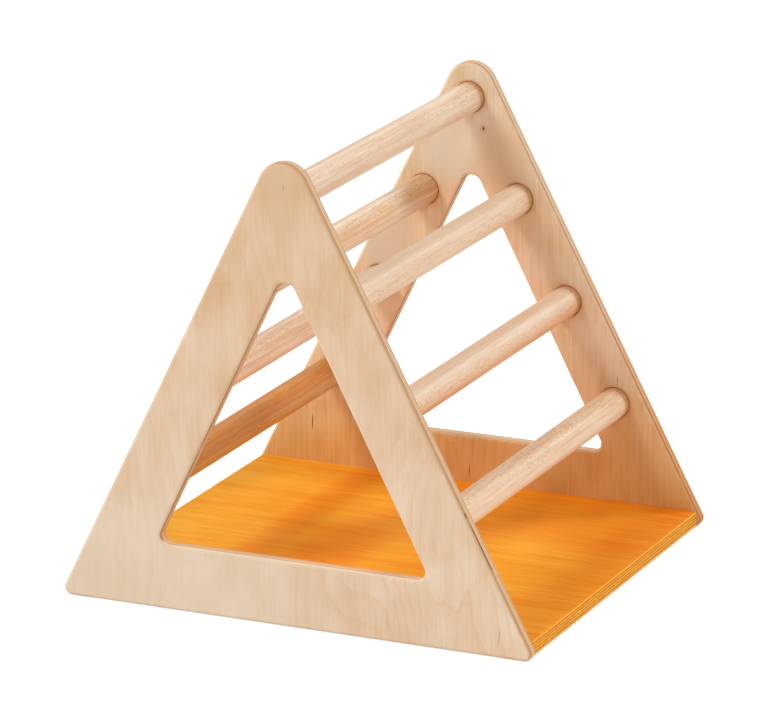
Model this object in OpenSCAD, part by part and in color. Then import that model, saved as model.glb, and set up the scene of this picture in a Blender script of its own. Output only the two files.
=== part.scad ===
// Climbing triangle for toddlers: two plywood side panels with a triangular
// cut-out, seven round rungs let into blind sockets, and a stained base board.
// +X runs across the front, +Y away from the viewer along the rungs, +Z up.
// The origin is on the floor, in the middle of the base board.

/* [Side panels] */
// Width at the floor, between the points where the sloping edges would meet it
base_w = 566; // [480:1:640]
// Height of the point where the two sloping edges would meet
peak_h = 548.5; // [480:0.5:620]
// Thickness of the plywood
panel_t = 16; // [14:1:24]
// Radius of the rounded peak
peak_r = 30; // [10:1:45]
// Radius of the two rounded feet
foot_r = 8; // [6:1:30]
// Radius that every edge of the panels is rounded over with
edge_r = 4; // [1:0.5:5]
// Clear distance between the two panels
clear_w = 456; // [300:1:700]

/* [Cut-out] */
// Height of the rail left below the cut-out
rail_h = 73.5; // [50:0.5:120]
// Width of each leg beside the cut-out's lower corners, square to its slope
leg_foot_w = 73; // [62:0.5:95]
// Width of each leg beside the cut-out's peak, square to its slope
leg_peak_w = 69.5; // [62:0.5:95]
// Radius of the cut-out's peak
cutout_peak_r = 12; // [6:1:24]
// Radius of the cut-out's lower corners
cutout_foot_r = 10; // [6:1:24]

/* [Rungs] */
// Diameter of a rung
rung_d = 35; // [25:1:38]
// Distance from a rung's axis to the panel's sloping edge
rung_inset = 34.5; // [26:0.5:38]
// Distance from one rung's axis to the next, down the slope
rung_pitch = 127; // [90:1:140]
// Chamfer on the ends of a rung
rung_chamfer = 1; // [0.5:0.5:2]
// Wood left behind each blind socket in a panel
socket_skin = 6; // [4:0.5:8]
// Chamfer around the mouth of a rung's socket
socket_rim = 1; // [0.5:0.25:2]

/* [Base board] */
// Thickness of the board
board_t = 18; // [15:1:24]
// How far the board's long edges stand in from the width at the floor
board_setback = 9; // [7:0.5:20]
// Radius that the board's long edges are rounded over with
board_edge_r = 3.5; // [1:0.5:5]

/* [Dowels] */
// Diameter of the dowels between board and panel
dowel_d = 8; // [6:1:10]
// Length of a dowel
dowel_l = 30; // [24:1:40]
// Number of dowels at each end of the board
dowel_count = 5; // [2:1:6]
// Distance from the board's long edges to the outermost dowels
dowel_margin = 54; // [30:1:90]

/* [Fits] */
// Glue gap around each rung and dowel
glue_gap = 0.1; // [0.05:0.05:0.3]
// Gap between the end of each rung or dowel and the bottom of its hole
end_gap = 0.3; // [0.1:0.1:0.6]

/* [Hidden] */
$fn = 96;

plywood = [0.90, 0.79, 0.66];
beech = [0.92, 0.79, 0.65];
orange_stain = [0.89, 0.51, 0.16];
dowel_wood = [0.82, 0.66, 0.47];

right = 1;
left = -1;
front = -1;
back = 1;

// How far a cutting tool runs past the face it cuts
overrun = 1;

// The sloping edges' angle to the floor, and the unit normal of the right one
// in the panel's plane
slope = atan2(peak_h, base_w / 2);
right_normal = [sin(slope), cos(slope)];

// Distance of the sloping edge's line from the origin
slope_reach = base_w / 2 * right_normal.x;

// x of the point at height z on a line parallel to the right sloping edge,
// at a distance of in inside it
function slope_x(z, in) = (slope_reach - in - right_normal.y * z) / right_normal.x;

// z of the point where that line and its mirror image meet
function meet_z(in) = (slope_reach - in) / right_normal.y;

// A rounded triangle is a list of three corners, anticlockwise from the right
// foot. Each corner is its arc's centre, its radius, and the directions in
// which the arc starts and ends.
function rounded_triangle(foot, peak, low_z, r_foot, r_peak) =
    let (lean = atan2(peak - low_z, foot),
         side = [sin(lean), cos(lean)],
         foot_x = foot - r_foot * (1 + side.y) / side.x,
         peak_z = peak - r_peak / side.y)
    [[[foot_x, low_z + r_foot], r_foot, -90, 90 - lean],
     [[0, peak_z], r_peak, 90 - lean, 90 + lean],
     [[-foot_x, low_z + r_foot], r_foot, 90 + lean, 270]];

// Outline of a side panel, and of its cut-out
panel_corners = rounded_triangle(base_w / 2, peak_h, 0, foot_r, peak_r);
cutout_corners = rounded_triangle(slope_x(rail_h, leg_foot_w), meet_z(leg_peak_w),
                                  rail_h, cutout_foot_r, cutout_peak_r);

// Blind holes in the panels
socket_depth = panel_t - socket_skin;
socket_r = rung_d / 2 + glue_gap;

// Places of the rungs' axes in the panel's plane: one rung at the peak, and
// three down each slope, a pitch apart
top_rung_at = [0, meet_z(rung_inset)];
function rung_at(side, step) =
    top_rung_at + step * rung_pitch * [side * right_normal.y, -right_normal.x];
rung_places = [top_rung_at, for (side = [right, left], step = [1:3]) rung_at(side, step)];

// Places of the dowels' axes in the panel's plane
board_w = base_w - 2 * board_setback;
dowel_span = board_w - 2 * dowel_margin;
dowel_places = [for (i = [0:dowel_count - 1])
    [-dowel_span / 2 + i * dowel_span / (dowel_count - 1), board_t / 2]];

// Length of a rung or dowel that lies in its hole in a panel
seated_l = socket_depth - end_gap;
rung_l = clear_w + 2 * seated_l;

// Steps along each corner's arc, and across each rounded-over arris
arc_steps = 12;
round_steps = 5;

// The ring of points round a rounded triangle grown by grow, at height z
function ring(corners, grow, z) =
    [for (corner = corners, i = [0:arc_steps])
        let (turn = corner[2] + (corner[3] - corner[2]) * i / arc_steps)
        [each corner[0] + (corner[1] + grow) * [cos(turn), sin(turn)], z]];

// The depth of each step of a rounded-over arris, and how far the wood's edge
// has drawn back there
rounding = [for (i = [0:round_steps])
    edge_r * [1 - cos(90 * i / round_steps), 1 - sin(90 * i / round_steps)]];

// Heights in a panel's thickness, with how far a rounded triangle grows there:
// side is -1 where its inside is wood, and 1 where its inside is air
function edge_levels(side) =
    [for (i = [0:round_steps]) [rounding[i].x, side * rounding[i].y],
     for (i = [round_steps:-1:0]) [panel_t - rounding[i].x, side * rounding[i].y]];

// Stands a shape drawn in the panel's plane upright, its height along -Y
module upright() {
    rotate([90, 0, 0])
        children();
}

// A solid whose outline is a rounded triangle that grows from level to level
module lofted_triangle(corners, levels) {
    count = 3 * (arc_steps + 1);
    last = len(levels) - 1;
    points = [for (level = levels) each ring(corners, level[1], level[0])];
    walls = [for (row = [0:last - 1], i = [0:count - 1])
        let (low = row * count + i, next = row * count + (i + 1) % count)
        each [[low, low + count, next], [next, low + count, next + count]]];
    floor_face = [for (i = [0:count - 1]) i];
    top_face = [for (i = [count - 1:-1:0]) last * count + i];
    polyhedron(points, [floor_face, each walls, top_face]);
}

// Blind socket for a rung, with a chamfered mouth at z = 0
module rung_socket() {
    translate([0, 0, -overrun])
        cylinder(r = socket_r, h = socket_depth + overrun);
    translate([0, 0, -overrun])
        cylinder(r1 = socket_r + socket_rim + overrun, r2 = socket_r,
                 h = socket_rim + overrun);
}

// What is cut away for the cut-out, with its mouths rounded over
module cutout() {
    levels = [[-overrun, edge_r], each edge_levels(1), [panel_t + overrun, edge_r]];
    lofted_triangle(cutout_corners, levels);
}

// Blind hole for a dowel, with its mouth at z = 0
module dowel_hole(depth) {
    translate([0, 0, -overrun])
        cylinder(r = dowel_d / 2 + glue_gap, h = depth + overrun);
}

// A side panel in its own plane, with its inner face at z = 0
module panel_plate() {
    difference() {
        lofted_triangle(panel_corners, edge_levels(-1));
        cutout();
        for (place = rung_places)
            translate(place)
                rung_socket();
        for (place = dowel_places)
            translate(place)
                dowel_hole(socket_depth);
    }
}

module front_side_panel() {
    color(plywood)
        translate([0, -clear_w / 2, 0])
            upright()
                panel_plate();
}

module back_side_panel() {
    color(plywood)
        mirror([0, 1, 0])
            translate([0, -clear_w / 2, 0])
                upright()
                    panel_plate();
}

// The base board's section, with its long edges rounded over
module board_section() {
    translate([-board_w / 2, board_edge_r])
        square([board_w, board_t - 2 * board_edge_r]);
    translate([-board_w / 2 + board_edge_r, 0])
        square([board_w - 2 * board_edge_r, board_t]);
    for (side = [left, right], z = [board_edge_r, board_t - board_edge_r])
        translate([side * (board_w / 2 - board_edge_r), z])
            circle(board_edge_r);
}

// The base board butts against both panels and lies flush with their feet
module base_board() {
    color(orange_stain)
        difference() {
            translate([0, clear_w / 2, 0])
                upright()
                    linear_extrude(clear_w)
                        board_section();
            for (end = [front, back], place = dowel_places)
                translate([place.x, end * clear_w / 2, place.y])
                    rotate([end * 90, 0, 0])
                        dowel_hole(dowel_l - seated_l + end_gap);
        }
}

// A round bar along +Z from z = 0, with both ends chamfered
module chamfered_bar(d, length, chamfer) {
    cylinder(d1 = d - 2 * chamfer, d2 = d, h = chamfer);
    translate([0, 0, chamfer])
        cylinder(d = d, h = length - 2 * chamfer);
    translate([0, 0, length - chamfer])
        cylinder(d1 = d, d2 = d - 2 * chamfer, h = chamfer);
}

// A rung through both panels' sockets, with its axis at the given place
module rung(place) {
    color(beech)
        translate([place.x, rung_l / 2, place.y])
            upright()
                chamfered_bar(rung_d, rung_l, rung_chamfer);
}

module top_rung() {
    rung(top_rung_at);
}

module right_upper_rung() {
    rung(rung_at(right, 1));
}

module right_middle_rung() {
    rung(rung_at(right, 2));
}

module right_lower_rung() {
    rung(rung_at(right, 3));
}

module left_upper_rung() {
    rung(rung_at(left, 1));
}

module left_middle_rung() {
    rung(rung_at(left, 2));
}

module left_lower_rung() {
    rung(rung_at(left, 3));
}

// The row of dowels that joins one end of the board to its panel
module base_dowels(end) {
    dowel_chamfer = dowel_d / 8;
    color(dowel_wood)
        for (place = dowel_places)
            translate([place.x, end * (clear_w / 2 + seated_l), place.y])
                rotate([end * 90, 0, 0])
                    chamfered_bar(dowel_d, dowel_l, dowel_chamfer);
}

module front_base_dowels() {
    base_dowels(front);
}

module back_base_dowels() {
    base_dowels(back);
}

front_side_panel();
back_side_panel();
base_board();
top_rung();
right_upper_rung();
right_middle_rung();
right_lower_rung();
left_upper_rung();
left_middle_rung();
left_lower_rung();
front_base_dowels();
back_base_dowels();
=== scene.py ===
import math

import bpy
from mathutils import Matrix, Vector
from mathutils.geometry import delaunay_2d_cdt


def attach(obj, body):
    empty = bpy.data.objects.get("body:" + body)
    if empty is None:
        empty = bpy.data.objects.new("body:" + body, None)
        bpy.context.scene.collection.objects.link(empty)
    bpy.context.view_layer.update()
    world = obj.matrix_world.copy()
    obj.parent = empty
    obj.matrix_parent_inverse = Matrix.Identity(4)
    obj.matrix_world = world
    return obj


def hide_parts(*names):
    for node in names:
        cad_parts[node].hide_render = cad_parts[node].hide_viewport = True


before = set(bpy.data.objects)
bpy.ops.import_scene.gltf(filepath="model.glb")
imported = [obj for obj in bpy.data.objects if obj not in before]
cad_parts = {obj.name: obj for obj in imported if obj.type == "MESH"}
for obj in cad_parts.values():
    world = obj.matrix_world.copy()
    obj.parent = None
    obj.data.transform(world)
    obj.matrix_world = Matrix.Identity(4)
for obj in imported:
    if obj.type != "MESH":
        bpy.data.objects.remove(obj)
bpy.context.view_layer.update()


# ---------------------------------------------------------------------------
# The two side panels
# Each is one piece of 16 mm birch plywood, cut to a tall triangle with a
# rounded peak and feet and a triangular window, every edge rounded over and
# lacquered. Its inner face has blind sockets that the rungs are glued into.

# Where the sloping edges would meet the floor and each other
panel_width = 0.566
panel_peak = 0.5485
outer_face = 0.244
inner_face = 0.228
arris_round = 0.004
arris_count = 8

slope = math.atan2(panel_peak, panel_width / 2)
off_slope = (math.sin(slope), math.cos(slope))
slope_reach = panel_width / 2 * off_slope[0]


def slope_x(height, inset):
    """x at a height on the line that runs inset inside the right sloping edge."""
    return (slope_reach - inset - off_slope[1] * height) / off_slope[0]


def slope_top(inset):
    """Height at which that line meets its mirror image."""
    return (slope_reach - inset) / off_slope[1]


def rounded_triangle(foot, peak, low, foot_radius, peak_radius, steps=20):
    """Arc centre, radius and direction of every point round a rounded triangle."""
    lean = math.atan2(peak - low, foot)
    foot_x = foot - foot_radius * (1 + math.cos(lean)) / math.sin(lean)
    peak_z = peak - peak_radius / math.cos(lean)
    quarter = math.pi / 2
    corners = [
        (foot_x, low + foot_radius, foot_radius, -quarter, quarter - lean),
        (0.0, peak_z, peak_radius, quarter - lean, quarter + lean),
        (-foot_x, low + foot_radius, foot_radius, quarter + lean, 3 * quarter),
    ]
    points = []
    for centre_x, centre_z, radius, start, end in corners:
        for step in range(steps + 1):
            turn = start + (end - start) * step / steps
            points.append((centre_x, centre_z, radius, math.cos(turn), math.sin(turn)))
    return points


def circle_points(count):
    """Directions of points evenly round a circle."""
    turns = [2 * math.pi * i / count for i in range(count)]
    return [(math.cos(turn), math.sin(turn)) for turn in turns]


class Shell:
    """Points and faces, with the true normal of the wood kept at every face corner."""

    def __init__(self, place):
        self.place = place
        self.points, self.faces, self.normals = [], [], []
        self.finish, self.finishes = 0, []

    def ring(self, spots):
        """Adds points, each a place and a normal, and gives back their numbers and normals."""
        ring = []
        for spot, normal in spots:
            ring.append((len(self.points), self.place(Vector(normal))))
            self.points.append(self.place(Vector(spot)))
        return ring

    def facing(self, ring, normal):
        """The same points seen from another face, with its normal at every one of them."""
        return [(number, self.place(Vector(normal))) for number, _ in ring]

    def face(self, corners):
        """Adds a face, turned so that it looks the way that its corners' normals do."""
        a, b, c = (self.points[corners[i][0]] for i in (0, 1, 2))
        seen = (b - a).cross(c - a)
        meant = sum((normal for _, normal in corners), Vector())
        if seen.dot(meant) < 0:
            corners = corners[::-1]
        self.faces.append([number for number, _ in corners])
        self.finishes.append(self.finish)
        self.normals.extend(normal.normalized() for _, normal in corners)

    def wall(self, low, high):
        """Joins two rings of the same length with four-sided faces."""
        for i in range(len(low)):
            j = (i + 1) % len(low)
            self.face([low[i], low[j], high[j], high[i]])

    def fan(self, ring):
        """Fills a round floor from one of its points."""
        for i in range(1, len(ring) - 1):
            self.face([ring[0], ring[i], ring[i + 1]])

    def flat(self, outline, holes, flatten, in_hole):
        """Fills the flat face between an outline and its holes. flatten gives a point's place
        on the face, and in_hole says whether such a place is in a hole."""
        rings = [outline] + holes
        corners = [corner for ring in rings for corner in ring]
        spots, edges = [], []
        for ring in rings:
            start = len(spots)
            spots += [Vector(flatten(self.points[number])) for number, _ in ring]
            edges += [(start + i, start + (i + 1) % len(ring)) for i in range(len(ring))]
        filled = delaunay_2d_cdt(spots, edges, [], 0, 1e-7)
        places, triangles, sources = filled[0], filled[2], filled[3]
        for triangle in triangles:
            middle = sum((places[i] for i in triangle), Vector((0.0, 0.0))) / 3
            if not in_hole(middle):
                self.face([corners[sources[i][0]] for i in triangle])

    def piece(self, name):
        """The finished mesh, as an object at the origin."""
        mesh = bpy.data.meshes.new(name)
        mesh.from_pydata(self.points, [], self.faces)
        mesh.polygons.foreach_set("material_index", self.finishes)
        mesh.shade_smooth()
        mesh.normals_split_custom_set(self.normals)
        made = bpy.data.objects.new(name, mesh)
        bpy.context.scene.collection.objects.link(made)
        return made


# Places of the rungs' axes in the panel's plane: one at the peak, and three
# down each slope, a pitch apart
rung_inset = 0.0345
rung_pitch = 0.127
top_rung_z = slope_top(rung_inset)
rung_places = {"top": (0.0, top_rung_z)}
for side_name, side in (("right", 1), ("left", -1)):
    for step, step_name in ((1, "upper"), (2, "middle"), (3, "lower")):
        rung_places[f"{side_name}_{step_name}"] = (
            side * step * rung_pitch * off_slope[1],
            top_rung_z - step * rung_pitch * off_slope[0],
        )
socket_radius = 0.0176
socket_depth = 0.010
socket_rim = 0.001
socket_rim_count = 3
socket_points = 64

# Places of the dowels that join the board's ends to the panels
dowel_row = [-0.220, -0.110, 0.0, 0.110, 0.220]
dowel_height = 0.009
dowel_hole_radius = 0.0041
dowel_hole_points = 24

panel_foot_radius = 0.008
panel_peak_radius = 0.030
panel_outline = rounded_triangle(
    panel_width / 2, panel_peak, 0.0, panel_foot_radius, panel_peak_radius
)

# The window: its bottom edge, how far its corners' lines run inside the slopes,
# and its radii at the foot and at the peak
window_low = 0.0735
window_foot_inset = 0.073
window_peak_inset = 0.0695
window_foot_radius = 0.010
window_peak_radius = 0.012
window_outline = rounded_triangle(
    slope_x(window_low, window_foot_inset), slope_top(window_peak_inset), window_low,
    window_foot_radius, window_peak_radius,
)

# Each step of a rounded-over arris: depth, how far the edge has drawn back
# there, and the normal's shares outwards and off the face
arris_steps = []
for arris_step in range(arris_count + 1):
    turn = math.radians(90 * arris_step / arris_count)
    arris_steps.append((
        arris_round * (1 - math.cos(turn)),
        arris_round * (1 - math.sin(turn)),
        math.sin(turn),
        math.cos(turn),
    ))


def side_panel(name, side):
    """A panel: side is -1 for the front one and 1 for the back one."""
    wood = Shell(lambda v: Vector((v.x, side * v.z, v.y)))

    def rim(outline, way):
        """The rings across an edge: way is 1 where wood lies inside the outline, else -1."""
        levels = [(outer_face - depth, back, out, off) for depth, back, out, off in arris_steps]
        levels += [(inner_face + depth, back, out, -off)
                   for depth, back, out, off in reversed(arris_steps)]
        rings = []
        for level, back, out, off in levels:
            rings.append(wood.ring([
                ((cx + (radius - way * back) * ax, cz + (radius - way * back) * az, level),
                 (way * out * ax, way * out * az, off))
                for cx, cz, radius, ax, az in outline
            ]))
        for low, high in zip(rings, rings[1:]):
            wood.wall(low, high)
        return rings

    def blind_hole(at, steps, count):
        """A round hole from its mouth's steps down to a flat bottom; gives back its mouth."""
        rings = [
            wood.ring([((at[0] + radius * ax, at[1] + radius * az, level),
                        (-out * ax, -out * az, off)) for ax, az in circle_points(count)])
            for radius, level, out, off in steps
        ]
        for low, high in zip(rings, rings[1:]):
            wood.wall(low, high)
        wood.fan(wood.facing(rings[-1], (0, 0, -1)))
        return wood.facing(rings[0], (0, 0, -1))

    outer_rings = rim(panel_outline, 1)
    window_rings = rim(window_outline, -1)

    mouths = []
    bottom = inner_face + socket_depth
    wood.finish = 1
    for place in rung_places.values():
        steps = []
        for i in range(socket_rim_count + 1):
            turn = math.radians(90 * i / socket_rim_count)
            steps.append((socket_radius + socket_rim * (1 - math.sin(turn)),
                          inner_face + socket_rim * (1 - math.cos(turn)),
                          math.sin(turn), -math.cos(turn)))
        steps.append((socket_radius, bottom, 1, 0))
        mouths.append(blind_hole(place, steps, socket_points))
    for x in dowel_row:
        steps = [(dowel_hole_radius, inner_face, 1, 0), (dowel_hole_radius, bottom, 1, 0)]
        mouths.append(blind_hole((x, dowel_height), steps, dowel_hole_points))
    wood.finish = 0

    window = [wood.points[number] for number, _ in window_rings[0]]

    def in_window(spot):
        """Whether a place is left of every edge of the window, going round it."""
        turns = [
            (b.x - a.x) * (spot.y - a.z) - (b.z - a.z) * (spot.x - a.x)
            for a, b in zip(window, window[1:] + window[:1])
        ]
        return min(turns) > 0

    def in_hole(spot):
        holes = [(x, z, socket_radius + socket_rim) for x, z in rung_places.values()]
        holes += [(x, dowel_height, dowel_hole_radius) for x in dowel_row]
        return any(math.hypot(spot.x - x, spot.y - z) < radius for x, z, radius in holes)

    def seen_flat(point):
        return (point.x, point.z)

    wood.flat(outer_rings[0], [window_rings[0]], seen_flat, in_window)
    wood.flat(outer_rings[-1], [window_rings[-1]] + mouths, seen_flat,
              lambda spot: in_window(spot) or in_hole(spot))
    return wood.piece(name)


class Wire:
    """A socket of a node tree: sums and products of wires lay down the maths nodes."""

    def __init__(self, tree, socket=None):
        self.tree = tree
        self.socket = socket

    def node(self, kind, settings=None, inputs=None, out=0):
        """Adds a node: its settings first, then its inputs, each a value, wire or list of wires."""
        made = self.tree.nodes.new(kind)
        for name, value in (settings or {}).items():
            setattr(made, name, value)
        for name, value in (inputs or {}).items():
            for part in value if isinstance(value, list) else [value]:
                if isinstance(part, Wire):
                    self.tree.links.new(part.socket, made.inputs[name])
                else:
                    made.inputs[name].default_value = part
        return Wire(self.tree, made.outputs[out] if len(made.outputs) else None)

    def maths(self, operation, *parts):
        """A maths node, or a vector one where any part is a vector."""
        vectors = any(
            isinstance(part, Wire) and part.socket.type in {"VECTOR", "RGBA"} for part in parts
        )
        kind = "ShaderNodeVectorMath" if vectors else "ShaderNodeMath"
        values = {}
        for i, part in enumerate(parts):
            if vectors and not isinstance(part, Wire):
                part = tuple(part) if hasattr(part, "__len__") else (part, part, part)
            values[i] = part
        return self.node(kind, {"operation": operation}, values)

    def __add__(self, other):
        return self.maths("ADD", self, other)

    def __radd__(self, other):
        return self.maths("ADD", other, self)

    def __sub__(self, other):
        return self.maths("SUBTRACT", self, other)

    def __rsub__(self, other):
        return self.maths("SUBTRACT", other, self)

    def __mul__(self, other):
        return self.maths("MULTIPLY", self, other)

    def __rmul__(self, other):
        return self.maths("MULTIPLY", other, self)

    def __truediv__(self, other):
        return self.maths("DIVIDE", self, other)

    def __gt__(self, other):
        return self.maths("GREATER_THAN", self, other)

    def power(self, exponent):
        return self.maths("POWER", self, exponent)

    def wave(self):
        """Half a unit plus half the sine: a soft wave between 0 and 1."""
        return self.maths("SINE", self) * 0.5 + 0.5

    def size(self):
        return self.maths("ABSOLUTE", self)

    def cycle(self):
        """The part of a number past the last whole one."""
        return self.maths("FRACT", self)

    def least(self, other):
        return self.maths("MINIMUM", self, other)

    def rise(self, low, high):
        """A smooth step from 0 at low to 1 at high."""
        return self.node("ShaderNodeMapRange", {"interpolation_type": "SMOOTHSTEP"},
                         {"Value": self, "From Min": low, "From Max": high})

    def near(self, centre, reach):
        """1 at a centre, falling smoothly to 0 at reach either side of it."""
        return 1 - (self - centre).size().rise(0.0, reach)

    def mix(self, first, second, blend="MIX"):
        """The colour this far from the first colour to the second."""
        return self.node("ShaderNodeMix", {"data_type": "RGBA", "blend_type": blend},
                         {0: self, 6: first, 7: second}, out=2)

    def noise(self, scale, detail=2.0, roughness=0.5, distortion=0.0):
        """Soft noise round 0.5, at a scale given along x, y and z, in cycles a metre."""
        return self.node("ShaderNodeTexNoise", {}, {
            "Vector": self * scale, "Scale": 1.0, "Detail": detail, "Roughness": roughness,
            "Distortion": distortion})

    def split(self):
        """The wire's x, y and z."""
        apart = self.node("ShaderNodeSeparateXYZ", {}, {0: self})
        sockets = apart.socket.node.outputs
        return [Wire(self.tree, socket) for socket in sockets]


def srgb(red, green, blue):
    """A colour as a screen shows it, 0 to 255, in the values that a shader takes."""
    def plain(value):
        value /= 255
        return value / 12.92 if value <= 0.04045 else ((value + 0.055) / 1.055) ** 2.4
    return (plain(red), plain(green), plain(blue), 1.0)


def new_finish(name):
    """An empty material, and a wire that carries the place on the piece."""
    finish = bpy.data.materials.new(name)
    finish.use_nodes = True
    finish.node_tree.nodes.clear()
    start = Wire(finish.node_tree)
    return finish, start.node("ShaderNodeTexCoord", out="Object")


def lacquer(colour, roughness, relief, relief_depth, constants):
    """Ends a material in a lacquered wood surface with a fine relief."""
    bump = colour.node("ShaderNodeBump", {}, {"Height": relief, "Distance": relief_depth,
                                              "Strength": 1.0})
    values = {"Base Color": colour, "Roughness": roughness, "Normal": bump}
    values.update(constants)
    surface = colour.node("ShaderNodeBsdfPrincipled", {}, values)
    colour.node("ShaderNodeOutputMaterial", {}, {"Surface": surface})


brown_streak = srgb(150, 104, 66)
crack_brown = srgb(138, 72, 30)

# The veneer's rings: x between which they begin to swirl, and heights where they fade
rings_swirl = (-0.25, -0.12)
rings_fade = (0.10, 0.24)
# The dark ring round a rung: how far from the rung's axis it fades
socket_shade = (0.80, 0.58, 0.38, 1.0)
socket_shade_reach = (socket_radius + 0.0012, socket_radius + 0.0044)

# Depths from the outer face between which each face veneer gives way to the edge
outer_veneer = (0.0009, 0.0014)
inner_veneer = (0.0146, 0.0151)
# Depths between which the outer arris comes in and goes out
arris_starts = (0.0004, 0.0012)
arris_ends = (0.0036, 0.0048)
# How far inside the slopes the window's edges begin, and how high its bottom edge is
window_border = (0.030, 0.040)
window_bottom = (0.074, 0.080)
# A painted highlight along the window's bottom arris and a dark sawn line along its
# slopes: each a depth from the outer face and half a width
highlight_line = (0.0024, 0.0016)
painted_highlight_tint = (1.25, 1.62, 2.1, 1.0)
sawn_line = (0.0026, 0.0021)
sawn_tint = (0.89, 0.76, 0.58, 1.0)
# How much higher up the edge the painted shade near the floor reaches than on the face
edge_shade_longer = 0.18


def birch_plywood(name, side, face_tones, edge_tones, ply_lines, shift, grain_strength,
                  painted_glow_near_floor, painted_light_near_peak, marked_face, marks_and_light_patches, cracks=(), painted_arris_shade=None):
    """Birch plywood: an upright-grained face veneer, and plies in lines round the edges.

    A ply line is a depth, half a width and a strength. The tints near the floor and the
    peak paint light and shade by height: near the floor the board's orange glow and the
    shade low on the inner face, with more painted shade on the edges, and near the peak
    the face lighter or darker as the light falls. Each is two heights between which the
    tint changes, and the tint, with one more for the edge near the floor. A mark is x, z,
    half its width and height, its lean, strength and colour, and shows on one face:
    knots, streaks, and patches of painted light and shade. A crack is z, a depth, and
    half its width and height, and shows on the right edge. The arris is darkened with
    painted shade on the left and right.
    """
    finish, at = new_finish(name)
    x, y, z = at.split()
    grain = at + shift
    floor_low, floor_high, painted_glow_tint, painted_edge_shade = painted_glow_near_floor
    peak_low, peak_high, peak_light_tint = painted_light_near_peak
    on_inner_face = (side * y).near(inner_face, 0.004)
    on_marked_face = (side * y).near(marked_face, 0.014)

    # The face: fine upright pores, soft clouds, and the wavy rings of a peeled veneer,
    # each with one sharp side, which run straight up near the left foot
    pores = grain.noise((1100.0, 20.0, 30.0), 2.0)
    threads = grain.noise((260.0, 20.0, 8.0), 3.0, 0.6)
    clouds = grain.noise((21.0, 4.0, 15.0), 3.0, 0.5, 0.4)
    sway = grain.noise((9.0, 3.0, 3.6), 1.5, 0.4, 0.2)
    waver = grain.noise((60.0, 10.0, 26.0), 2.0)
    swirl = 3.0 + 10.0 * x.rise(*rings_swirl)
    rings = (sway * swirl + waver * 0.7 + x * 46.0).cycle()
    rings_seen = grain.noise((12.0, 3.0, 9.0), 1.0).rise(0.40, 0.60)
    rings_seen = rings_seen * (0.45 + (1 - z.rise(*rings_fade)) * 0.22)
    depth = 0.5 + ((pores - 0.5) * 0.28 + (threads - 0.5) * 0.34) * grain_strength
    depth = depth + (clouds - 0.5) * 1.05 + (rings.power(3.0) * 0.26 - 0.06) * rings_seen
    veneer = depth.rise(0.0, 1.0).mix(*face_tones)
    # Painted light and shade by height towards the peak
    veneer = z.rise(peak_low, peak_high).mix(veneer, peak_light_tint, "MULTIPLY")
    # Painted glow and shade: the board's orange bounce light and the shade low on the inner face
    glow_near_board = on_inner_face * (1 - z.rise(floor_low, floor_high))
    veneer = glow_near_board.mix(veneer, painted_glow_tint, "MULTIPLY")
    flecks = grain.noise((900.0, 40.0, 150.0), 1.0).rise(0.74, 0.82)
    veneer = (flecks * 0.18).mix(veneer, brown_streak)
    # Knots and streaks, and patches of painted light and shade
    for mark_x, mark_z, half_width, half_height, lean, strength, colour in marks_and_light_patches:
        along = z - mark_z
        across = x - mark_x - along * lean
        far = ((across / half_width).power(2.0) + (along / half_height).power(2.0)).power(0.5)
        veneer = ((1 - far.rise(0.35, 1.0)) * on_marked_face * strength).mix(veneer, colour)

    # A darker ring of glue and shade round each rung on the inner face
    from_rung = None
    for rung_x, rung_z in [place for place in rung_places.values() if place[0] >= 0]:
        reach = ((x.size() - rung_x).power(2.0) + (z - rung_z).power(2.0)).power(0.5)
        from_rung = reach if from_rung is None else from_rung.least(reach)
    ring = 1 - from_rung.rise(*socket_shade_reach)
    veneer = (ring * on_inner_face * 0.35).mix(veneer, socket_shade, "MULTIPLY")

    # The edge: each ply's glue line, some plain and some faint
    ply_depth = outer_face - side * y + (threads - 0.5) * 0.0003
    edge_wood = grain.noise((260.0, 900.0, 260.0), 3.0, 0.6)
    plies = (ply_depth * 4330.0).wave()
    edge = (edge_wood * 0.5 + plies * 0.5).rise(0.2, 0.8).mix(edge_tones[0], edge_tones[1])
    inset = slope_reach - x.size() * off_slope[0] - z * off_slope[1]
    in_window = inset.rise(*window_border)
    over_rail = in_window * (1 - z.rise(*window_bottom))
    seen = grain.noise((40.0, 300.0, 40.0), 2.0).rise(0.15, 0.45)
    seen = seen * (0.8 + in_window * 0.2) * (1 - over_rail * 0.6)
    for line_depth, half_width, strength in ply_lines:
        line = ply_depth.near(line_depth, half_width) * strength * seen
        edge = line.mix(edge, edge_tones[2])
    # Painted shade on the outer edges near the floor
    shaded_low_edge = (1 - z.rise(floor_low, floor_high + edge_shade_longer)) * (1 - in_window)
    edge = shaded_low_edge.mix(edge, painted_edge_shade, "MULTIPLY")
    for crack_z, crack_depth, half_width, half_height in cracks:
        along = (z - crack_z).size() / half_height
        crack = ply_depth.near(crack_depth, half_width) * (1 - along.rise(0.7, 1.0))
        on_right = x.rise(0.1, 0.11)
        edge = (crack * on_right * 0.90).mix(edge, crack_brown)
    # A painted highlight where the window's bottom arris catches the light
    highlit_rail_edge = over_rail * ply_depth.near(*highlight_line)
    edge = highlit_rail_edge.mix(edge, painted_highlight_tint, "MULTIPLY")
    sawn = (in_window - over_rail) * ply_depth.near(*sawn_line)
    edge = sawn.mix(edge, sawn_tint, "MULTIPLY")
    on_edge = ply_depth.rise(*outer_veneer) * (1 - ply_depth.rise(*inner_veneer))
    colour = on_edge.mix(veneer, edge)
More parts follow.
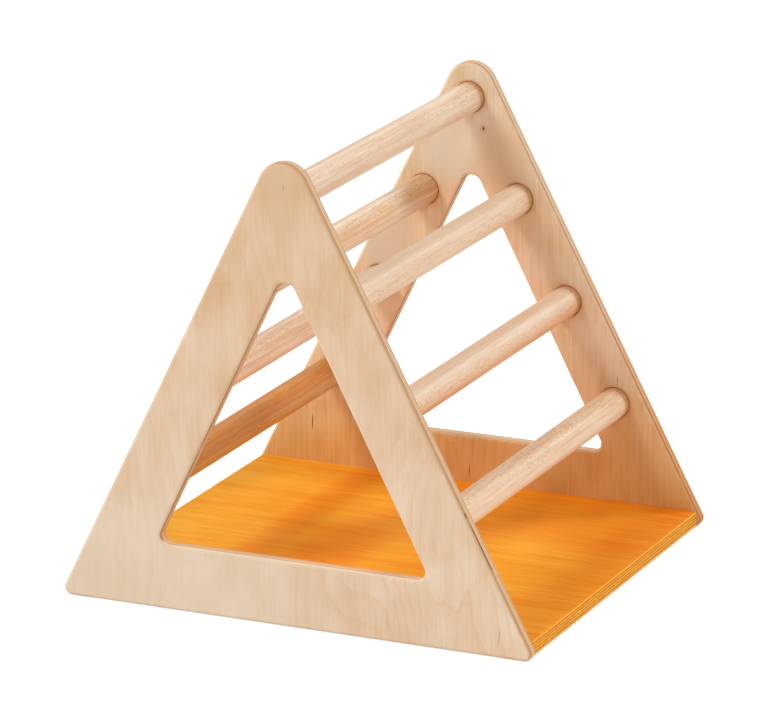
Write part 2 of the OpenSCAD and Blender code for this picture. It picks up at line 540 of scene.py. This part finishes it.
    # Painted shade on the outer arris, on the left and on the right
    if painted_arris_shade:
        on_arris = ply_depth.rise(*arris_starts) * (1 - ply_depth.rise(*arris_ends))
        arris_shade_colour = x.rise(-0.02, 0.02).mix(*painted_arris_shade)
        colour = (on_arris * (1 - in_window)).mix(colour, arris_shade_colour, "MULTIPLY")
    relief = pores * 0.4 + threads * 0.6
    roughness = 0.50 + (clouds - 0.5) * 0.10 + (pores - 0.5) * 0.10 + on_edge * 0.25
    lacquer(colour, roughness, relief, 0.00012,
            {"IOR": 1.46, "Specular IOR Level": 0.30})
    return finish


front_panel_finish = birch_plywood(
    "front_panel_birch", side=-1,
    face_tones=(srgb(237, 216, 193), srgb(220, 182, 142)),
    edge_tones=(srgb(240, 208, 172), srgb(226, 182, 136), srgb(150, 86, 26)),
    ply_lines=(
        (0.0026, 0.0010, 0.60), (0.0046, 0.0010, 1.00), (0.0080, 0.0008, 0.50),
        (0.0116, 0.0010, 0.95), (0.0134, 0.0010, 0.50),
    ),
    shift=(0.0, 0.0, 0.0), grain_strength=1.2,
    # Painted glow and shade near the floor
    painted_glow_near_floor=(0.0, 0.20, (1.0, 0.97, 0.90, 1.0), (1.0, 0.97, 0.90, 1.0)),
    # Painted light and shade towards the peak
    painted_light_near_peak=(0.05, 0.42, (0.965, 0.90, 0.82, 1.0)),
    # Painted shade on the outer arris
    painted_arris_shade=((0.80, 0.80, 0.82, 1.0), (0.91, 0.82, 0.72, 1.0)),
    marked_face=outer_face,
    marks_and_light_patches=(
        (-0.20, 0.0, 0.34, 0.17, 0.0, 0.50, srgb(231, 214, 191)),
        (0.0, 0.495, 0.050, 0.045, 0.0, 0.45, srgb(214, 174, 132)),
        (0.0015, 0.486, 0.0013, 0.006, 0.0, 0.50, srgb(190, 140, 92)),
        (0.2424, 0.023, 0.0009, 0.015, 0.13, 0.50, brown_streak),
    ),
    cracks=((0.1520, 0.0034, 0.0022, 0.0030), (0.1180, 0.0038, 0.0016, 0.0260)),
)
back_panel_finish = birch_plywood(
    "back_panel_birch", side=1,
    face_tones=(srgb(242, 217, 190), srgb(222, 181, 130)),
    edge_tones=(srgb(240, 212, 180), srgb(230, 190, 148), srgb(172, 88, 8)),
    ply_lines=(
        (0.0026, 0.0010, 0.35), (0.0048, 0.0008, 0.35), (0.0072, 0.0014, 0.85),
        (0.0112, 0.0008, 0.30), (0.0134, 0.0016, 0.85),
    ),
    shift=(0.71, 0.30, 0.42), grain_strength=2.0,
    # Painted glow and shade near the floor
    painted_glow_near_floor=(0.02, 0.20, (0.89, 0.70, 0.37, 1.0), (0.90, 0.59, 0.30, 1.0)),
    # Painted light and shade towards the peak
    painted_light_near_peak=(0.33, 0.46, (0.98, 1.04, 1.10, 1.0)),
    marked_face=inner_face,
    marks_and_light_patches=(
        # Painted shade below the top rung, and painted light on the upper inner face
        (0.043, 0.405, 0.050, 0.065, 0.0, 0.9, srgb(226, 190, 152)),
        (-0.022, 0.408, 0.040, 0.055, 0.0, 0.9, srgb(230, 211, 185)),
        (-0.106, 0.300, 0.050, 0.080, 0.0, 0.8, srgb(225, 200, 171)),
        (0.0165, 0.4382, 0.0060, 0.0075, 0.0, 0.45, srgb(206, 152, 104)),
        (0.0165, 0.4382, 0.0016, 0.0030, 0.0, 0.95, srgb(84, 44, 24)),
        (-0.2058, 0.066, 0.0011, 0.013, 0.05, 0.85, srgb(118, 62, 30)),
        (-0.0061, 0.0314, 0.0010, 0.010, 0.0, 0.75, srgb(130, 66, 30)),
        (0.1784, 0.1614, 0.0009, 0.010, 0.0, 0.60, srgb(130, 76, 44)),
    ),
)

raw_socket, at = new_finish("raw_socket_wood")
grain = at.noise((700.0, 700.0, 700.0), 3.0, 0.6)
scorch = at.noise((90.0, 90.0, 90.0), 1.0)
wood = (grain * 0.6 + scorch * 0.4).rise(0.30, 0.70).mix(srgb(206, 144, 92), srgb(168, 108, 62))
lacquer(wood, 0.70 + (grain - 0.5) * 0.10, grain, 0.0001, {"IOR": 1.45})

front_panel = side_panel("front_plywood_side", -1)
front_panel.data.materials.append(front_panel_finish)
back_panel = side_panel("back_plywood_side", 1)
back_panel.data.materials.append(back_panel_finish)
for panel, node in ((front_panel, "front_side_panel"), (back_panel, "back_side_panel")):
    panel.data.materials.append(raw_socket)
    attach(panel, "root")
    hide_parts(node)


# ---------------------------------------------------------------------------
# The base board
# An 18 mm birch plywood board, stained orange all over, its grain running
# from side to side. It butts against both panels, flush with the floor, and
# its two long edges are rounded over and show the plies.

board_half_width = 0.274
board_thickness = 0.018
board_round = 0.0035
board_round_count = 8
board_hole_depth = 0.0206


def stained_board(name):
    """The board, with a row of blind dowel holes in each end."""
    board = Shell(lambda v: v)
    section = []
    for centre_x, centre_z, start in (
        (board_half_width - board_round, board_round, -90),
        (board_half_width - board_round, board_thickness - board_round, 0),
        (board_round - board_half_width, board_thickness - board_round, 90),
        (board_round - board_half_width, board_round, 180),
    ):
        for step in range(board_round_count + 1):
            turn = math.radians(start + 90 * step / board_round_count)
            section.append((centre_x, centre_z, math.cos(turn), math.sin(turn)))

    def ring(y):
        return board.ring([
            ((cx + board_round * ax, y, cz + board_round * az), (ax, 0, az))
            for cx, cz, ax, az in section
        ])

    ends = {end: ring(end * inner_face) for end in (-1, 1)}
    board.wall(ends[-1], ends[1])
    hole_circle = [(dowel_hole_radius * ax, dowel_hole_radius * az)
                   for ax, az in circle_points(dowel_hole_points)]
    for end in (-1, 1):
        mouths = []
        for x in dowel_row:
            hole = [
                board.ring([((x + ax, y, dowel_height + az), (-ax, 0, -az))
                            for ax, az in hole_circle])
                for y in (end * inner_face, end * (inner_face - board_hole_depth))
            ]
            board.wall(*hole)
            board.fan(board.facing(hole[1], (0, end, 0)))
            mouths.append(board.facing(hole[0], (0, end, 0)))

        def in_hole(spot):
            return any(math.hypot(spot.x - x, spot.y - dowel_height) < dowel_hole_radius
                       for x in dowel_row)

        board.flat(board.facing(ends[end], (0, end, 0)), mouths,
                   lambda point: (point.x, point.z), in_hole)
    return board.piece(name)


# Heights of the glue lines, and half the width of each
board_glue_lines = (0.0018, 0.0052, 0.0086, 0.0120, 0.0150)
glue_line_reach = 0.0010
glue_line_brown = srgb(182, 70, 0)
# Distances from the board's middle between which its face gives way to the edge
board_edge = (board_half_width - 0.0016, board_half_width - 0.0010)
# Painted shadows and pools of light on the board: x, y, half width and length, strength, tint
painted_light_patches = (
    (-0.050, -0.040, 0.060, 0.150, 0.75, (0.95, 0.66, 0.55, 1.0)),
    (-0.128, 0.040, 0.034, 0.300, 0.80, (0.97, 0.74, 0.62, 1.0)),
    (0.035, -0.060, 0.045, 0.130, 0.80, (1.0, 1.09, 1.0, 1.0)),
    (0.145, -0.040, 0.085, 0.160, 0.80, (0.99, 1.24, 1.30, 1.0)),
    (0.245, 0.140, 0.050, 0.160, 0.80, (0.98, 0.80, 0.80, 1.0)),
    (0.120, 0.215, 0.160, 0.050, 0.80, (1.10, 1.12, 1.10, 1.0)),
)


def orange_stain(name):
    """Orange stain on birch: streaks of grain along x, and dark glue lines on the edges."""
    finish, at = new_finish(name)
    x, y, z = at.split()
    streaks = at.noise((11.0, 420.0, 300.0), 3.0, 0.6)
    bands = at.noise((3.0, 60.0, 20.0), 2.0, 0.5)
    clouds = at.noise((5.0, 9.0, 4.0), 2.0)
    pores = at.noise((60.0, 1500.0, 900.0), 1.0)
    depth = 0.5 + (streaks - 0.5) * 1.9 + (bands - 0.5) * 0.9 + (clouds - 0.5) * 0.7
    depth = depth + (pores - 0.5) * 0.8
    face = depth.rise(0.0, 1.0).mix(srgb(254, 184, 57), srgb(242, 152, 17))
    # Darker and redder towards the back right
    darker_back_right = (x * 1.1 + y * 0.8 + (clouds - 0.5) * 0.12).rise(-0.30, 0.45)
    face = darker_back_right.mix(face, (0.98, 0.76, 0.62, 1.0), "MULTIPLY")
    # Painted shadows of the rungs and panels, and painted pools of light
    for patch_x, patch_y, half_width, half_length, strength, tint in painted_light_patches:
        far = ((x - patch_x) / half_width).power(2.0) + ((y - patch_y) / half_length).power(2.0)
        face = ((1 - far.rise(0.0, 1.0)) * strength).mix(face, tint, "MULTIPLY")

    edge_grain = at.noise((500.0, 24.0, 900.0), 2.0, 0.6)
    chips = at.noise((500.0, 160.0, 400.0), 2.0, 0.6)
    edge = edge_grain.rise(0.3, 0.7).mix(srgb(255, 190, 66), srgb(255, 166, 40))
    ply_z = z + (chips - 0.5) * 0.0006
    for line_height in board_glue_lines:
        seen = ply_z.near(line_height, glue_line_reach) * chips.rise(0.25, 0.50)
        edge = (seen * 0.95).mix(edge, glue_line_brown)
    colour = x.size().rise(*board_edge).mix(face, edge)
    relief = streaks * 0.6 + pores * 0.4
    roughness = 0.70 + (clouds - 0.5) * 0.10 + (streaks - 0.5) * 0.12
    lacquer(colour, roughness, relief, 0.00012,
            {"IOR": 1.46, "Specular IOR Level": 0.15})
    return finish


board = stained_board("stained_base")
board.data.materials.append(orange_stain("orange_stained_birch"))
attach(board, "root")
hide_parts("base_board")


# ---------------------------------------------------------------------------
# The seven rungs
# Each is a 35 mm round bar of turned beech, lacquered, with both ends lightly
# chamfered and glued into the panels' blind sockets. Beech shows fine reddish
# streaks along the bar and short dark flecks.

rung_diameter = 0.035
rung_length = 0.4754
rung_chamfer = 0.001


def turned_bar(start, length, diameter, chamfer, profile):
    """Lays down the nodes of a bar along y round the origin, with both ends chamfered."""
    number = start.node("GeometryNodeInputIndex")
    beyond = (number > 1.5)
    along = number * chamfer + beyond * (length - chamfer * 3.0) - length * 0.5
    place = start.node("ShaderNodeCombineXYZ", {}, {"Y": along})
    line = start.node("GeometryNodeMeshLine", {}, {"Count": 4})
    line = start.node("GeometryNodeSetPosition", {}, {"Geometry": line, "Position": place})
    path = start.node("GeometryNodeMeshToCurve", {}, {"Mesh": line})
    at_end = ((number - 1.5).size() > 1.0)
    swell = 1.0 - at_end * (chamfer * 2.0 / diameter)
    bar = start.node("GeometryNodeCurveToMesh", {}, {
        "Curve": path, "Profile Curve": profile, "Scale": swell, "Fill Caps": True})
    angle = start.node("GeometryNodeInputMeshEdgeAngle")
    bar = start.node("GeometryNodeSetShadeSmooth", {"domain": "FACE"}, {
        "Geometry": bar, "Shade Smooth": True})
    return start.node("GeometryNodeSetShadeSmooth", {"domain": "EDGE"}, {
        "Geometry": bar, "Selection": angle > 0.5, "Shade Smooth": False})


def new_tree(name, sizes):
    """A geometry tree with named inputs, each a socket type, and a wire to each of them."""
    tree = bpy.data.node_groups.new(name, "GeometryNodeTree")
    for size, kind in sizes.items():
        tree.interface.new_socket(size, in_out="INPUT", socket_type=kind)
    tree.interface.new_socket("Geometry", in_out="OUTPUT", socket_type="NodeSocketGeometry")
    inlet = tree.nodes.new("NodeGroupInput")
    return tree, {size: Wire(tree, inlet.outputs[size]) for size in sizes}


def grow(name, tree, values, finish):
    """Runs a tree with these input values and keeps the result as a plain mesh."""
    seed = bpy.data.objects.new(name + "_seed", bpy.data.meshes.new(name + "_seed"))
    bpy.context.scene.collection.objects.link(seed)
    growth = seed.modifiers.new("grow", "NODES")
    growth.node_group = tree
    for socket in tree.interface.items_tree:
        if socket.in_out == "INPUT":
            growth[socket.identifier] = values[socket.name]
    seed.update_tag()
    depsgraph = bpy.context.evaluated_depsgraph_get()
    mesh = bpy.data.meshes.new_from_object(seed.evaluated_get(depsgraph), depsgraph=depsgraph)
    mesh.name = name
    seed.modifiers.remove(growth)
    bpy.data.objects.remove(seed)
    if not mesh.materials:
        mesh.materials.append(finish)
    made = bpy.data.objects.new(name, mesh)
    bpy.context.scene.collection.objects.link(made)
    return made


rung_tree, rung_size = new_tree("turned_rung", {
    "Length": "NodeSocketFloat", "Diameter": "NodeSocketFloat",
    "Chamfer": "NodeSocketFloat", "Place": "NodeSocketVector",
    "Finish": "NodeSocketMaterial"})
start = Wire(rung_tree)
rung_round = start.node("GeometryNodeCurvePrimitiveCircle", {}, {
    "Resolution": 96, "Radius": rung_size["Diameter"] * 0.5})
rung_bar = turned_bar(start, rung_size["Length"], rung_size["Diameter"],
                      rung_size["Chamfer"], rung_round)
rung_bar = start.node("GeometryNodeSetPosition", {}, {
    "Geometry": rung_bar, "Offset": rung_size["Place"]})
rung_bar = start.node("GeometryNodeRealizeInstances", {}, {"Geometry": rung_bar})
rung_bar = start.node("GeometryNodeSetMaterial", {}, {
    "Geometry": rung_bar, "Material": rung_size["Finish"]})
start.node("NodeGroupOutput", {}, {"Geometry": rung_bar})


no_tint = (1.0, 1.0, 1.0, 1.0)
# Painted shadow of the panel over the last few millimetres of each rung
painted_end_shadow = (0.84, 0.64, 0.44, 1.0)
# A dark line painted along the edge of a rung's painted end shadow: its distance from
# the panel and half its width
shadow_edge_line = (0.0085, 0.0007)
shadow_edge_brown = srgb(176, 112, 60)
fleck_brown = srgb(206, 134, 78)
# Directions across a rung, x and up, in which the flecks and the painted side light are strongest
fleck_and_light_above = (-0.3, 0.95)
fleck_and_light_below = (0.6, -0.8)


def turned_beech(name, place, shift, light, dark, streaking, fleck_and_light_side=fleck_and_light_above,
                 painted_side_light=no_tint, end_shadow_band=(0.0073, 0.0085), end_shadow_tint=painted_end_shadow,
                 coat=0.35, gloss=0.5, painted_inward_shade=(1.0, 1.0, 1.0)):
    """Lacquered beech: reddish streaks along the bar, and rows of short dark flecks.

    The flecks and the side tint show most on the chosen side: the side tint is painted
    light and shade. Both tints leave the left side plain: the inward one is painted shade
    for a left rung, whose right side faces in over the board. Each end has a painted
    shadow of the panel that fades between the end band's distances from the panel.
    """
    finish, at = new_finish(name)
    centred = at - (place[0], 0.0, place[1])
    across, y, up = centred.split()
    facing = (across * fleck_and_light_side[0] + up * fleck_and_light_side[1]) / (rung_diameter / 2)
    centred = centred + shift
    streaks = centred.noise((330.0, 7.0, 330.0), 3.0, 0.6)
    rings = centred.noise((75.0, 1.6, 75.0), 2.0, 0.5)
    fine = centred.noise((900.0, 36.0, 900.0), 2.0)
    depth = 0.5 + (streaks - 0.5) * streaking * 1.3 + (rings - 0.5) * streaking * 0.9
    depth = depth + (fine - 0.5) * 1.1
    plain = depth.rise(0.0, 1.0).mix(light, dark)
    # Painted light and shade on one side, and painted shade on a left rung's inner side
    lit_and_shaded = facing.rise(-0.3, 0.9).mix(plain, painted_side_light, "MULTIPLY") * painted_inward_shade
    wood = (across / (rung_diameter / 2)).rise(-0.95, -0.30).mix(plain, lit_and_shaded)
    fleck_rows = centred.noise((90.0, 14.0, 90.0), 1.0).rise(0.34, 0.54)
    fleck_rows = fleck_rows * (0.25 + facing.rise(-0.2, 0.6) * 0.75)
    flecks = centred.noise((760.0, 150.0, 760.0), 1.0).rise(0.54, 0.64)
    wood = (flecks * fleck_rows * 0.46).mix(wood, fleck_brown)
    from_panel = inner_face - y.size()
    # Painted shadow of the panel over the rung's end
    wood = (1 - from_panel.rise(*end_shadow_band)).mix(wood, end_shadow_tint, "MULTIPLY")
    # A painted dark line along the shadow's edge
    wood = (from_panel.near(*shadow_edge_line) * 0.6).mix(wood, shadow_edge_brown)
    relief = fine * 0.4 + streaks * 0.6
    roughness = 0.46 + (streaks - 0.5) * 0.12 + (rings - 0.5) * 0.08
    lacquer(wood, roughness, relief, 0.00010,
            {"IOR": 1.47, "Coat Weight": coat, "Coat Roughness": 0.28,
             "Specular IOR Level": gloss})
    return finish


# Side and inward tints: painted glow under two right rungs, painted light and shade on the left
rung_looks = {
    "top": dict(
        light=srgb(243, 218, 187), dark=srgb(228, 185, 147), streaking=1.3),
    "right_upper": dict(
        light=srgb(245, 221, 190), dark=srgb(232, 192, 153), streaking=0.9,
        fleck_and_light_side=fleck_and_light_below, painted_side_light=(1.0, 0.94, 0.88, 1.0)),
    "right_middle": dict(
        light=srgb(248, 222, 193), dark=srgb(236, 195, 158), streaking=0.8,
        fleck_and_light_side=fleck_and_light_below, painted_side_light=(0.93, 0.68, 0.47, 1.0)),
    "right_lower": dict(
        light=srgb(250, 223, 188), dark=srgb(236, 188, 144), streaking=1.3),
    "left_upper": dict(
        light=srgb(244, 222, 192), dark=srgb(228, 187, 144), streaking=1.9,
        painted_side_light=(1.06, 1.08, 1.08, 1.0),
        # A long painted shadow of the back panel over this rung's far end
        end_shadow_band=(0.050, 0.100), end_shadow_tint=(0.88, 0.74, 0.56, 1.0)),
    "left_middle": dict(
        light=srgb(244, 217, 184), dark=srgb(222, 178, 136), streaking=1.9),
    "left_lower": dict(
        light=srgb(244, 218, 186), dark=srgb(220, 179, 139), streaking=0.9,
        fleck_and_light_side=(0.1, 0.99), painted_side_light=(1.05, 0.74, 0.46, 1.0),
        painted_inward_shade=(0.83, 0.655, 0.333), coat=0.0, gloss=0.2),
}
for rung_name, rung_place in rung_places.items():
    grain_shift = (0.1 * len(rung_name), 0.37 * rung_place[1], 0.0)
    beech = turned_beech(f"beech_{rung_name}", rung_place, grain_shift, **rung_looks[rung_name])
    rung = grow(f"beech_bar_{rung_name}", rung_tree, {
        "Length": rung_length, "Diameter": rung_diameter, "Chamfer": rung_chamfer,
        "Place": (rung_place[0], 0.0, rung_place[1]), "Finish": beech}, beech)
    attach(rung, "root")
    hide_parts(f"{rung_name}_rung")


# ---------------------------------------------------------------------------
# The dowels
# Five fluted beech dowels in each end of the board, 8 mm by 30 mm, glued into
# the panels' inner faces. They are out of sight inside the wood.

dowel_diameter = 0.008
dowel_length = 0.030
dowel_chamfer = 0.001
dowel_flutes = 16
flute_depth = 0.0003
# How far from the middle a dowel's outer end is, 0.3 mm short of its hole's bottom
dowel_end = 0.2377

dowel_tree, dowel_size = new_tree("fluted_dowels", {
    "Length": "NodeSocketFloat", "Diameter": "NodeSocketFloat",
    "Chamfer": "NodeSocketFloat", "Flute Depth": "NodeSocketFloat",
    "Count": "NodeSocketInt", "Spacing": "NodeSocketFloat", "First": "NodeSocketVector",
    "Finish": "NodeSocketMaterial"})
start = Wire(dowel_tree)
profile = start.node("GeometryNodeCurvePrimitiveCircle", {}, {
    "Resolution": dowel_flutes * 4, "Radius": dowel_size["Diameter"] * 0.5})
number = start.node("GeometryNodeInputIndex")
in_flute = 1.0 - (start.maths("MODULO", number, 4.0) > 0.5)
spot = start.node("GeometryNodeInputPosition")
shrink = 1.0 - in_flute * dowel_size["Flute Depth"] * 2.0 / dowel_size["Diameter"]
profile = start.node("GeometryNodeSetPosition", {}, {
    "Geometry": profile, "Position": spot * shrink})
dowel = turned_bar(start, dowel_size["Length"], dowel_size["Diameter"],
                   dowel_size["Chamfer"], profile)
gap = start.node("ShaderNodeCombineXYZ", {}, {"X": dowel_size["Spacing"]})
row = start.node("GeometryNodeMeshLine", {}, {
    "Count": dowel_size["Count"], "Start Location": dowel_size["First"], "Offset": gap})
row = start.node("GeometryNodeInstanceOnPoints", {}, {"Points": row, "Instance": dowel})
row = start.node("GeometryNodeRealizeInstances", {}, {"Geometry": row})
row = start.node("GeometryNodeSetMaterial", {}, {
    "Geometry": row, "Material": dowel_size["Finish"]})
start.node("NodeGroupOutput", {}, {"Geometry": row})

dowel_finish, at = new_finish("raw_beech_dowel")
grain = at.noise((1400.0, 60.0, 1400.0), 2.0)
flecks = at.noise((2200.0, 500.0, 2200.0), 1.0).rise(0.58, 0.70)
wood = grain.rise(0.25, 0.75).mix(srgb(222, 184, 142), srgb(196, 150, 106))
wood = (flecks * 0.5).mix(wood, srgb(146, 92, 56))
lacquer(wood, 0.62 + (grain - 0.5) * 0.10, grain, 0.0001, {"IOR": 1.45})

for end, end_name in ((-1, "front"), (1, "back")):
    first = (dowel_row[0], end * (dowel_end - dowel_length / 2), dowel_height)
    dowels = grow(f"fluted_dowels_{end_name}", dowel_tree, {
        "Length": dowel_length, "Diameter": dowel_diameter, "Chamfer": dowel_chamfer,
        "Flute Depth": flute_depth, "Count": len(dowel_row),
        "Spacing": dowel_row[1] - dowel_row[0], "First": first,
        "Finish": dowel_finish}, dowel_finish)
    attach(dowels, "root")
    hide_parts(f"{end_name}_base_dowels")


# ---------------------------------------------------------------------------
# The floor
# A plain white studio floor, wide enough to fill the view, that keeps the
# object's soft shadow and shows white round it.

floor_mesh = bpy.data.meshes.new("studio_floor")
floor_reach = 14.0
# Just under the wood, so that the two don't share a plane
floor_height = -0.0004
floor_mesh.from_pydata(
    [(x * floor_reach, y * floor_reach, floor_height)
     for x, y in ((-1, -1), (1, -1), (1, 1), (-1, 1))], [], [(0, 1, 2, 3)])
floor = bpy.data.objects.new("studio_floor", floor_mesh)
bpy.context.scene.collection.objects.link(floor)
floor_paint = bpy.data.materials.new("white_floor")
floor_paint.use_nodes = True
floor_paint.node_tree.nodes.clear()
start = Wire(floor_paint.node_tree)
pure_white = (1.0, 1.0, 1.0, 1.0)
matt = start.node("ShaderNodeBsdfDiffuse", {}, {"Color": (0.93, 0.93, 0.93, 1.0)})
glow = start.node("ShaderNodeEmission", {}, {"Color": pure_white, "Strength": 0.42})
lit = start.node("ShaderNodeAddShader", {}, {0: matt, 1: glow})
seen = start.node("ShaderNodeLightPath", out="Is Camera Ray")
shine = start.node("ShaderNodeMixShader", {}, {0: seen, 1: matt, 2: lit})
start.node("ShaderNodeOutputMaterial", {}, {"Surface": shine})
floor_mesh.materials.append(floor_paint)


# ---------------------------------------------------------------------------
# Light and camera
# A pale room all round with far softboxes: two in front, a low one at the left
# side, two high ones and a low one at the back right, one at the back left, a
# glow low behind it and one overhead. The camera is in front on the right.

room = bpy.data.worlds.new("pale_room")
room.use_nodes = True
room.node_tree.nodes.clear()
start = Wire(room.node_tree)
ambient = start.node("ShaderNodeBackground", {}, {"Color": pure_white, "Strength": 0.38})
white = start.node("ShaderNodeBackground", {}, {"Color": pure_white, "Strength": 1.0})
seen = start.node("ShaderNodeLightPath", out="Is Camera Ray")
sky = start.node("ShaderNodeMixShader", {}, {0: seen, 1: ambient, 2: white})
start.node("ShaderNodeOutputWorld", {}, {"Surface": sky})
bpy.context.scene.world = room


stand_distance = 3.0


def softbox(name, direction, spread, level):
    """A far soft lamp, spread degrees across: level 1 shows a facing colour as written."""
    lamp = bpy.data.lights.new(name, "SUN")
    lamp.angle = math.radians(spread)
    lamp.energy = level * math.pi
    stand = bpy.data.objects.new(name, lamp)
    bpy.context.scene.collection.objects.link(stand)
    away = Vector(direction).normalized()
    stand.location = away * stand_distance
    stand.rotation_euler = away.to_track_quat("Z", "Y").to_euler()


softbox("left_front_box", (-0.32, -0.74, 0.59), 15.0, 0.34)
softbox("right_front_box", (0.47, -0.52, 0.71), 15.0, 0.10)
softbox("left_side_box", (-0.955, -0.08, 0.28), 16.0, 0.39)
softbox("right_back_box", (0.58, 0.58, 0.58), 12.0, 0.24)
softbox("right_low_box", (0.68, 0.67, 0.30), 9.0, 0.07)
softbox("back_high_box", (0.40, 0.72, 0.57), 14.0, 0.05)
softbox("back_left_box", (-0.28, 0.84, 0.45), 16.0, 0.05)
softbox("backdrop_glow", (0.05, 0.99, 0.12), 30.0, 0.20)
softbox("overhead_box", (0.0, 0.0, 1.0), 16.0, 0.05)

camera_data = bpy.data.cameras.new("studio_camera")
camera_data.sensor_width = 36.0
camera_data.lens = 239.2259
camera = bpy.data.objects.new("studio_camera", camera_data)
bpy.context.scene.collection.objects.link(camera)
azimuth = math.radians(25.669219)
elevation = math.radians(17.101960)
roll = math.radians(-1.010386)
backwards = Vector((math.sin(azimuth) * math.cos(elevation),
                    -math.cos(azimuth) * math.cos(elevation), math.sin(elevation)))
level_right = Vector((math.cos(azimuth), math.sin(azimuth), 0.0))
level_up = backwards.cross(level_right)
rightwards = math.cos(roll) * level_right + math.sin(roll) * level_up
upwards = backwards.cross(rightwards)
turned = camera.matrix_world.to_3x3()
for axis, direction in enumerate((rightwards, upwards, backwards)):
    for row_number in range(3):
        turned[row_number][axis] = direction[row_number]
camera.matrix_world = turned.to_4x4()
camera.location = (2.313892, -4.820307, 1.873713)
bpy.context.scene.camera = camera
bpy.context.scene.view_settings.view_transform = "Standard"
